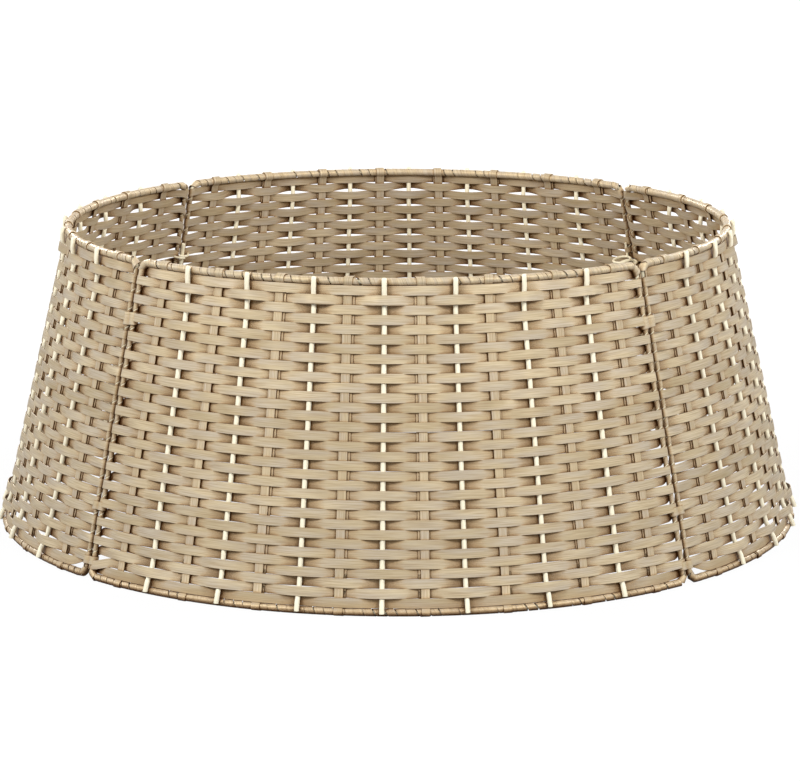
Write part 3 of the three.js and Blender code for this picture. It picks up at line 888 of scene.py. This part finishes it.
def wound(collar, angles, slopes, count, reach, pace=1):
    """Points wound round a line on the wall at that pace, and the line's direction there."""
    line = collar.point(angles, slopes)
    run = run_along(line)
    place = np.cumsum(np.broadcast_to(pace, count))
    place = run[-1] * (place - place[0]) / (place[-1] - place[0])

    def at_places(values):
        return np.stack([np.interp(place, run, values[:, axis]) for axis in range(3)], 1)

    forwards = unit(at_places(np.gradient(line, axis=0)))
    outwards = unit(at_places(collar.facing(angles)))
    sideways = np.cross(forwards, outwards)
    turn = (2 * math.pi * np.arange(count) / BINDING_TURN_SAMPLES)[:, None]
    return at_places(line) + (outwards * np.cos(turn) + sideways * np.sin(turn)) * reach, forwards


def binding_strand(collar, turn, is_top, rng):
    """The strip wound round a rim and its corners."""
    weave = collar.weave
    angles, slopes = rim_line(collar, is_top, RIM_TAIL)
    angles = angles + turn
    turns = int(run_along(collar.point(angles, slopes))[-1] / weave.binding_pitch)
    count = turns * BINDING_TURN_SAMPLES

    def by_turn(turns=1):
        return drift(rng, count, turns * BINDING_TURN_SAMPLES)

    pace = 1 + BINDING_PACE_DRIFT * by_turn()
    sink = BINDING_SINK - BINDING_SINK_DRIFT * drift(rng, count, BINDING_TURN_SAMPLES // 2)[:, None]
    reach = collar.rim_radius - collar.half_strip * sink
    points, forwards = wound(collar, angles, slopes, count, reach, pace)
    tint = BINDING_TINT + BINDING_TINT_DRIFT * by_turn(BINDING_TINT_TURNS)
    width = weave.binding_width * (1 + BINDING_WIDTH_DRIFT * by_turn())
    strand = Strand(points, forwards, width, weave.strip_thickness, tint, is_wound=True)
    return strand.leaned(BINDING_LEAN * (1 + BINDING_LEAN_DRIFT * by_turn()))


class BindRims(bpy.types.Operator):
    """Wind a flat strip round both rims of every panel"""

    bl_idname = "collar.bind_rims"
    bl_label = "Rim Bindings"

    def execute(self, context):
        collar = Collar(context.scene)
        for panel in PANELS:
            rng = random_numbers(BINDING_SEED, panel)
            for level, is_top in (("top", True), ("bottom", False)):
                strand = binding_strand(collar, panel_turn(panel), is_top, rng)
                name = f"{panel}_{level}_rim"
                add_piece(f"{name}_binding", "strip", [strand], panel, f"{name}_wrap")
        return {"FINISHED"}


def rod_binding_strand(collar, turn, side):
    """The thin strip wound round a side rod, under the turns of the woven one."""
    weave = collar.weave
    slopes = np.linspace(collar.corner_radius, collar.length - collar.corner_radius, ROD_SAMPLES)
    angles = collar.rod_angle(side, slopes) + turn
    rod_length = run_along(collar.point(angles, slopes))[-1]
    count = int(rod_length / collar.row_pitch * BINDING_TURN_SAMPLES)
    reach = collar.wire_diameter / 2 + weave.rod_binding_thickness / 2
    points, forwards = wound(collar, angles, slopes, count, reach)
    return Strand(
        points, forwards, weave.rod_binding_width, weave.rod_binding_thickness, BAND_TINT, is_wound=True
    )


class BindRods(bpy.types.Operator):
    """Wind a thin strip round both side rods of every panel"""

    bl_idname = "collar.bind_rods"
    bl_label = "Rod Bindings"

    def execute(self, context):
        collar = Collar(context.scene)
        for panel in PANELS:
            for name, side in (("left", -1), ("right", 1)):
                strand = rod_binding_strand(collar, panel_turn(panel), side)
                add_piece(f"{panel}_{name}_rod_binding", "strip", [strand], panel)
        return {"FINISHED"}


def frame_strand(collar, turn):
    """The closed loop of a panel's wire, from the middle of its bottom rim."""
    low = np.stack(rim_line(collar, False, 0))
    high = np.stack(rim_line(collar, True, 0))
    climb = np.linspace(collar.corner_radius, collar.length - collar.corner_radius, ROD_SAMPLES)[1:-1]
    left, right = [np.stack([collar.rod_angle(side, climb), climb]) for side in (-1, 1)]
    half = low.shape[1] // 2
    line = np.hstack([low[:, half:], right, high[:, ::-1], left[:, ::-1], low[:, :half + 1]])
    is_new = np.append(True, np.abs(np.diff(line)).sum(axis=0) > SAME_PLACE)
    angles, slopes = line[:, is_new]
    angles = angles + turn
    points = collar.point(angles, slopes)
    return Strand(points, collar.facing(angles), collar.wire_diameter, collar.wire_diameter)


class BendWires(bpy.types.Operator):
    """Bend the wire frame of every panel"""

    bl_idname = "collar.bend_wires"
    bl_label = "Wire Frames"

    def execute(self, context):
        collar = Collar(context.scene)
        for panel in PANELS:
            strand = frame_strand(collar, panel_turn(panel))
            add_piece(f"{panel}_coated_wire", "wire", [strand], panel, f"{panel}_frame_wire")
        return {"FINISHED"}


class SeamPlace:
    """A place on a seam, from which points are given outwards, along the wall and up the seam."""

    def __init__(self, collar, angle, slope, offset=0):
        self.middle = collar.point(angle, slope, 0, offset)
        self.outwards = collar.facing(angle)
        self.along = collar.along(angle)
        self.up = collar.up(angle)

    def points(self, outwards, along, up):
        outwards, along, up = [values[:, None] for values in np.broadcast_arrays(outwards, along, up)]
        return self.middle + outwards * self.outwards + along * self.along + up * self.up


def oval(offset, radius, turns, samples):
    """A line round two circles at that offset to each side, as (x, y), and its share of all turns."""
    straight = 2 * offset
    arc = math.pi * radius
    lap = 2 * (straight + arc)
    run = np.linspace(0, lap * turns, int(samples * turns) + 1)
    place = (run + straight / 2) % lap
    first_turn = np.clip((place - straight) / radius, 0, math.pi)
    second_turn = np.clip((place - 2 * straight - arc) / radius, 0, math.pi)
    turn = first_turn + second_turn
    middle = offset - np.clip(place, 0, straight) + np.clip(place - straight - arc, 0, straight)
    return -radius * np.cos(turn), middle - radius * np.sin(turn), run / (lap * turns)


def tie_strand(collar, angle, slope, turns, rng):
    """A strip wound round both rods of a seam."""
    seams = collar.seams
    place = SeamPlace(collar, angle, slope)
    xs, ys, share = oval(collar.rod_offset, collar.tie_radius, turns, TIE_TURN_SAMPLES)
    waist = np.cos(math.pi / 2 * np.clip(ys / collar.rod_offset, -1, 1)) ** 2
    advance = seams.tie_width * (turns - 1) * TIE_ADVANCE_SHARE
    ups = advance * (share - 0.5) + TIE_WANDER * drift(rng, len(xs), TIE_WANDER_SAMPLES)
    points = place.points(xs * (1 - TIE_WAIST_SHARE * waist), ys, ups)
    tint = rng.uniform(*TIE_TINTS)
    return Strand(points, place.up, seams.tie_width, collar.weave.strip_thickness, tint)


class TieSeams(bpy.types.Operator):
    """Tie the side panels to the front panel"""

    bl_idname = "collar.tie_seams"
    bl_label = "Seam Ties"

    def execute(self, context):
        collar = Collar(context.scene)
        slopes = {
            "bottom": collar.seams.bottom_tie_height,
            "lower": collar.seams.lower_tie_height,
            "upper": collar.length - collar.seams.upper_tie_depth,
        }
        for panel, angle in (("left", FRONT_LEFT_SEAM), ("right", FRONT_RIGHT_SEAM)):
            rng = random_numbers(TIE_SEED, panel)
            for level, turns in TIE_TURNS.items():
                strand = tie_strand(collar, angle, slopes[level], turns, rng)
                add_piece(f"{panel}_{level}_tie", "strip", [strand], panel, f"{panel}_seam_tie_{level}")
        return {"FINISHED"}


def ring_strand(collar, place):
    """A cane bent round past its own start, in the seam's level plane."""
    seams = collar.seams
    share = np.linspace(0, 1, RING_SAMPLES)
    turn = 2 * math.pi * RING_LAP_SHARE * share
    rise = seams.ring_cane * (share - 0.5) * RING_RISE_SHARE
    points = place.points(-seams.ring_radius * np.cos(turn), seams.ring_radius * np.sin(turn), rise)
    return Strand(points, place.up, seams.ring_cane, seams.ring_cane)


def peg_strand(collar, place):
    """A straight peg inside the ring and both rods, a little thinner at its ends."""
    seams = collar.seams
    rods = collar.rod_radius + seams.peg_diameter / 2 + seams.clearance
    inwards = -math.sqrt(rods ** 2 - collar.rod_offset ** 2)
    top = seams.peg_above
    bottom = -seams.peg_below
    ups = np.array([bottom, bottom + PEG_TIP, -PEG_WAIST, 0, top - PEG_TIP, top])
    shares = np.array([PEG_TIP_SHARE, 1, PEG_WAIST_SHARE, 1, 1, PEG_TIP_SHARE])
    thickness = seams.peg_diameter * shares
    return Strand(place.points(inwards, 0, ups), place.along, thickness, thickness)


class SetRingsAndPegs(bpy.types.Operator):
    """Put the cane rings round both rods of the back left seam, and a peg in each"""

    bl_idname = "collar.set_rings_and_pegs"
    bl_label = "Rings and Pegs"

    def execute(self, context):
        collar = Collar(context.scene)
        for level, slope in zip(("lower", "upper"), collar.ring_slopes):
            place = SeamPlace(collar, BACK_LEFT_SEAM, slope)
            ring = ring_strand(collar, place)
            add_piece(f"{level}_cane_ring", "cane", [ring], "back", f"seam_ring_{level}")
            peg = peg_strand(collar, place)
            add_piece(f"{level}_cane_peg", "cane", [peg], f"peg_{level}", f"seam_peg_{level}")
        return {"FINISHED"}


def catch_strands(collar, direction, rng):
    """A catch ring's cane, and the strip that binds its straight end to the rod."""
    seams = collar.seams
    place = SeamPlace(collar, BACK_RIGHT_SEAM, collar.ring_slopes[1], direction * collar.rod_offset)
    cane_radius = seams.ring_cane / 2
    tail = -(collar.rod_radius + seams.clearance + cane_radius)
    lift = direction * (cane_radius + seams.clearance / 2)
    turn = 2 * math.pi * np.linspace(1, 0, RING_SAMPLES)
    middle = tail - seams.ring_radius
    loop = place.points(middle + seams.ring_radius * np.cos(turn), seams.ring_radius * np.sin(turn), lift)
    straight = place.points(tail, 0, lift + np.array(CATCH_BEND_SHARES) * seams.catch_tail * direction)
    points = np.concatenate([loop, straight])
    across = place.along + place.up * CATCH_SLANT
    ring = Strand(points, across, seams.ring_cane, seams.ring_cane)

    turn = 2 * math.pi * np.linspace(0, CATCH_BAND_TURNS, CATCH_BAND_SAMPLES)
    stretch = 1 + CATCH_BAND_STRETCH * (1 - np.cos(turn))
    xs = collar.tie_radius * np.cos(turn) * np.where(np.cos(turn) < 0, stretch, 1)
    wander = TIE_WANDER * drift(rng, len(turn), CATCH_WANDER_SAMPLES)
    ups = lift + direction * seams.catch_tail / 2 + wander
    points = place.points(xs, -collar.tie_radius * np.sin(turn), ups)
    band = Strand(points, place.up, seams.catch_band, collar.weave.strip_thickness, BAND_TINT)
    return ring, band


class SetCatch(bpy.types.Operator):
    """Bind a cane ring to each panel's rod at the open back right seam"""

    bl_idname = "collar.set_catch"
    bl_label = "Open Catch"

    def execute(self, context):
        collar = Collar(context.scene)
        for panel, direction in (("back", 1), ("right", -1)):
            ring, band = catch_strands(collar, direction, random_numbers(CATCH_SEED, panel))
            add_piece(f"{panel}_catch_loop", "cane", [ring], panel, f"{panel}_catch_ring")
            add_piece(f"{panel}_catch_binding", "strip", [band], panel, f"{panel}_catch_band")
        return {"FINISHED"}


def aim(thing, target):
    """Turn a lamp or a camera towards a point."""
    thing.rotation_euler = (target - thing.location).to_track_quat("-Z", "Y").to_euler()


def heading(azimuth, elevation):
    """Direction from the ring's middle, with the azimuth counted from the front to the right."""
    level = math.cos(elevation)
    return Vector((math.sin(azimuth) * level, -math.cos(azimuth) * level, math.sin(elevation)))


def add_lamp(name, place, target, size, power, colour):
    lamp = bpy.data.lights.new(name, "AREA")
    lamp.size = size
    lamp.energy = power
    lamp.color = colour[:3]
    thing = bpy.data.objects.new(name, lamp)
    thing.location = place
    thing.visible_camera = False
    bpy.context.scene.collection.objects.link(thing)
    aim(thing, target)


def hang_lamps(stage, middle, white):
    """Three pairs of lamps round the object, one over the camera and one over the ring."""
    pairs = (
        ("key", stage.key_azimuth, stage.key_elevation, stage.key_power),
        ("side", stage.side_azimuth, stage.side_elevation, stage.side_power),
        ("back", stage.back_azimuth, stage.side_elevation, stage.back_power),
    )
    lamps = [
        (f"{side}_{name}", sign * azimuth, elevation, power)
        for name, azimuth, elevation, power in pairs
        for side, sign in (("left", -1), ("right", 1))
    ]
    lamps.append(("fill", stage.azimuth, 2 * stage.elevation, stage.fill_power))
    for name, azimuth, elevation, power in lamps:
        place = middle + heading(azimuth, elevation) * stage.lamp_distance
        add_lamp(name, place, middle, stage.lamp_size, power, white)
    over = middle + Vector((0, 0, stage.inside_height))
    behind = middle + Vector((0, stage.inside_depth, 0))
    add_lamp("inside", over, behind, stage.lamp_size, stage.inside_power, stage.inside_colour)


def add_camera(stage, middle):
    away = heading(stage.azimuth, stage.elevation)
    camera = bpy.data.objects.new("camera", bpy.data.cameras.new("camera"))
    camera.data.lens = stage.lens
    camera.data.clip_end = VIEW_DEPTH
    camera.location = middle + away * stage.distance
    right = away.cross(Vector((0, 0, -1))).normalized()
    down = right.cross(away).normalized()
    aim(camera, middle + right * stage.aim_right + down * stage.aim_down)
    bpy.context.scene.collection.objects.link(camera)
    bpy.context.scene.camera = camera


def light_sky(stage, colour):
    """Even light from all round, and plain white behind the object."""
    world = bpy.data.worlds.new("studio")
    bpy.context.scene.world = world
    world.use_nodes = True
    tree = world.node_tree
    tree.nodes.clear()
    path = add_node(tree, "ShaderNodeLightPath")
    seen = path.outputs["Is Camera Ray"]
    for ray in ("Is Glossy Ray", "Is Transmission Ray"):
        seen = add_node(tree, "ShaderNodeMath", {0: seen, 1: path.outputs[ray]}, operation="MAXIMUM")
    soft, white = [
        add_node(tree, "ShaderNodeBackground", {"Color": colour, "Strength": strength})
        for strength in (stage.sky_strength, 1)
    ]
    mixed = add_node(tree, "ShaderNodeMixShader", {0: seen, 1: soft, 2: white})
    add_node(tree, "ShaderNodeOutputWorld", {"Surface": mixed})


def lay_floor():
    bm = bmesh.new()
    bmesh.ops.create_grid(bm, x_segments=1, y_segments=1, size=FLOOR_SIZE / 2)
    mesh = bpy.data.meshes.new("floor")
    bm.to_mesh(mesh)
    bm.free()
    mesh.materials.append(made_material("matt_white_floor", white_floor))
    floor = bpy.data.objects.new("floor", mesh)
    bpy.context.scene.collection.objects.link(floor)


class SetStage(bpy.types.Operator):
    """Lay the floor, hang the lamps and place the camera"""

    bl_idname = "collar.set_stage"
    bl_label = "Stage"

    def execute(self, context):
        scene = context.scene
        middle = Vector((0, 0, scene.collar_sizes.height / 2))
        white = scene.collar_colours.floor
        add_camera(scene.collar_stage, middle)
        lay_floor()
        light_sky(scene.collar_stage, white)
        hang_lamps(scene.collar_stage, middle, white)
        scene.view_settings.view_transform = "Standard"
        return {"FINISHED"}


class CollarPanel(bpy.types.Panel):
    """Sizes and colours of the collar, and its pieces"""

    bl_idname = "VIEW3D_PT_collar"
    bl_label = "Woven Tree Collar"
    bl_space_type = "VIEW_3D"
    bl_region_type = "UI"
    bl_category = "Collar"

    def draw(self, context):
        for name in GROUPS:
            box = self.layout.box()
            group = getattr(context.scene, name)
            for key in group.bl_rna.properties.keys():
                if key not in ("rna_type", "name"):
                    box.prop(group, key)
        for operator in OPERATORS:
            self.layout.operator(operator.bl_idname)


GROUPS = {
    "collar_sizes": CollarSizes,
    "collar_weave": WeaveSizes,
    "collar_seams": SeamSizes,
    "collar_colours": CollarColours,
    "collar_stage": StageSizes,
}
OPERATORS = (
    WeaveWeft, SetFlatStakes, SetCaneStakes, BindRims, BindRods, BendWires, TieSeams, SetRingsAndPegs,
    SetCatch, SetStage,
)
CLASSES = (*GROUPS.values(), *OPERATORS, CollarPanel)


def register():
    for each in CLASSES:
        bpy.utils.register_class(each)
    for name, group in GROUPS.items():
        setattr(bpy.types.Scene, name, PointerProperty(type=group))


def unregister():
    for name in GROUPS:
        delattr(bpy.types.Scene, name)
    for each in reversed(CLASSES):
        bpy.utils.unregister_class(each)


def corners(box):
    return [list(corner) for corner in box]


def main():
    register()
    bpy.ops.collar.weave_weft()
    bpy.ops.collar.set_flat_stakes()
    bpy.ops.collar.set_cane_stakes()
    bpy.ops.collar.bind_rims()
    bpy.ops.collar.bind_rods()
    bpy.ops.collar.bend_wires()
    bpy.ops.collar.tie_seams()
    bpy.ops.collar.set_rings_and_pegs()
    bpy.ops.collar.set_catch()
    bpy.ops.collar.set_stage()


if __name__ == "__main__":
    main()
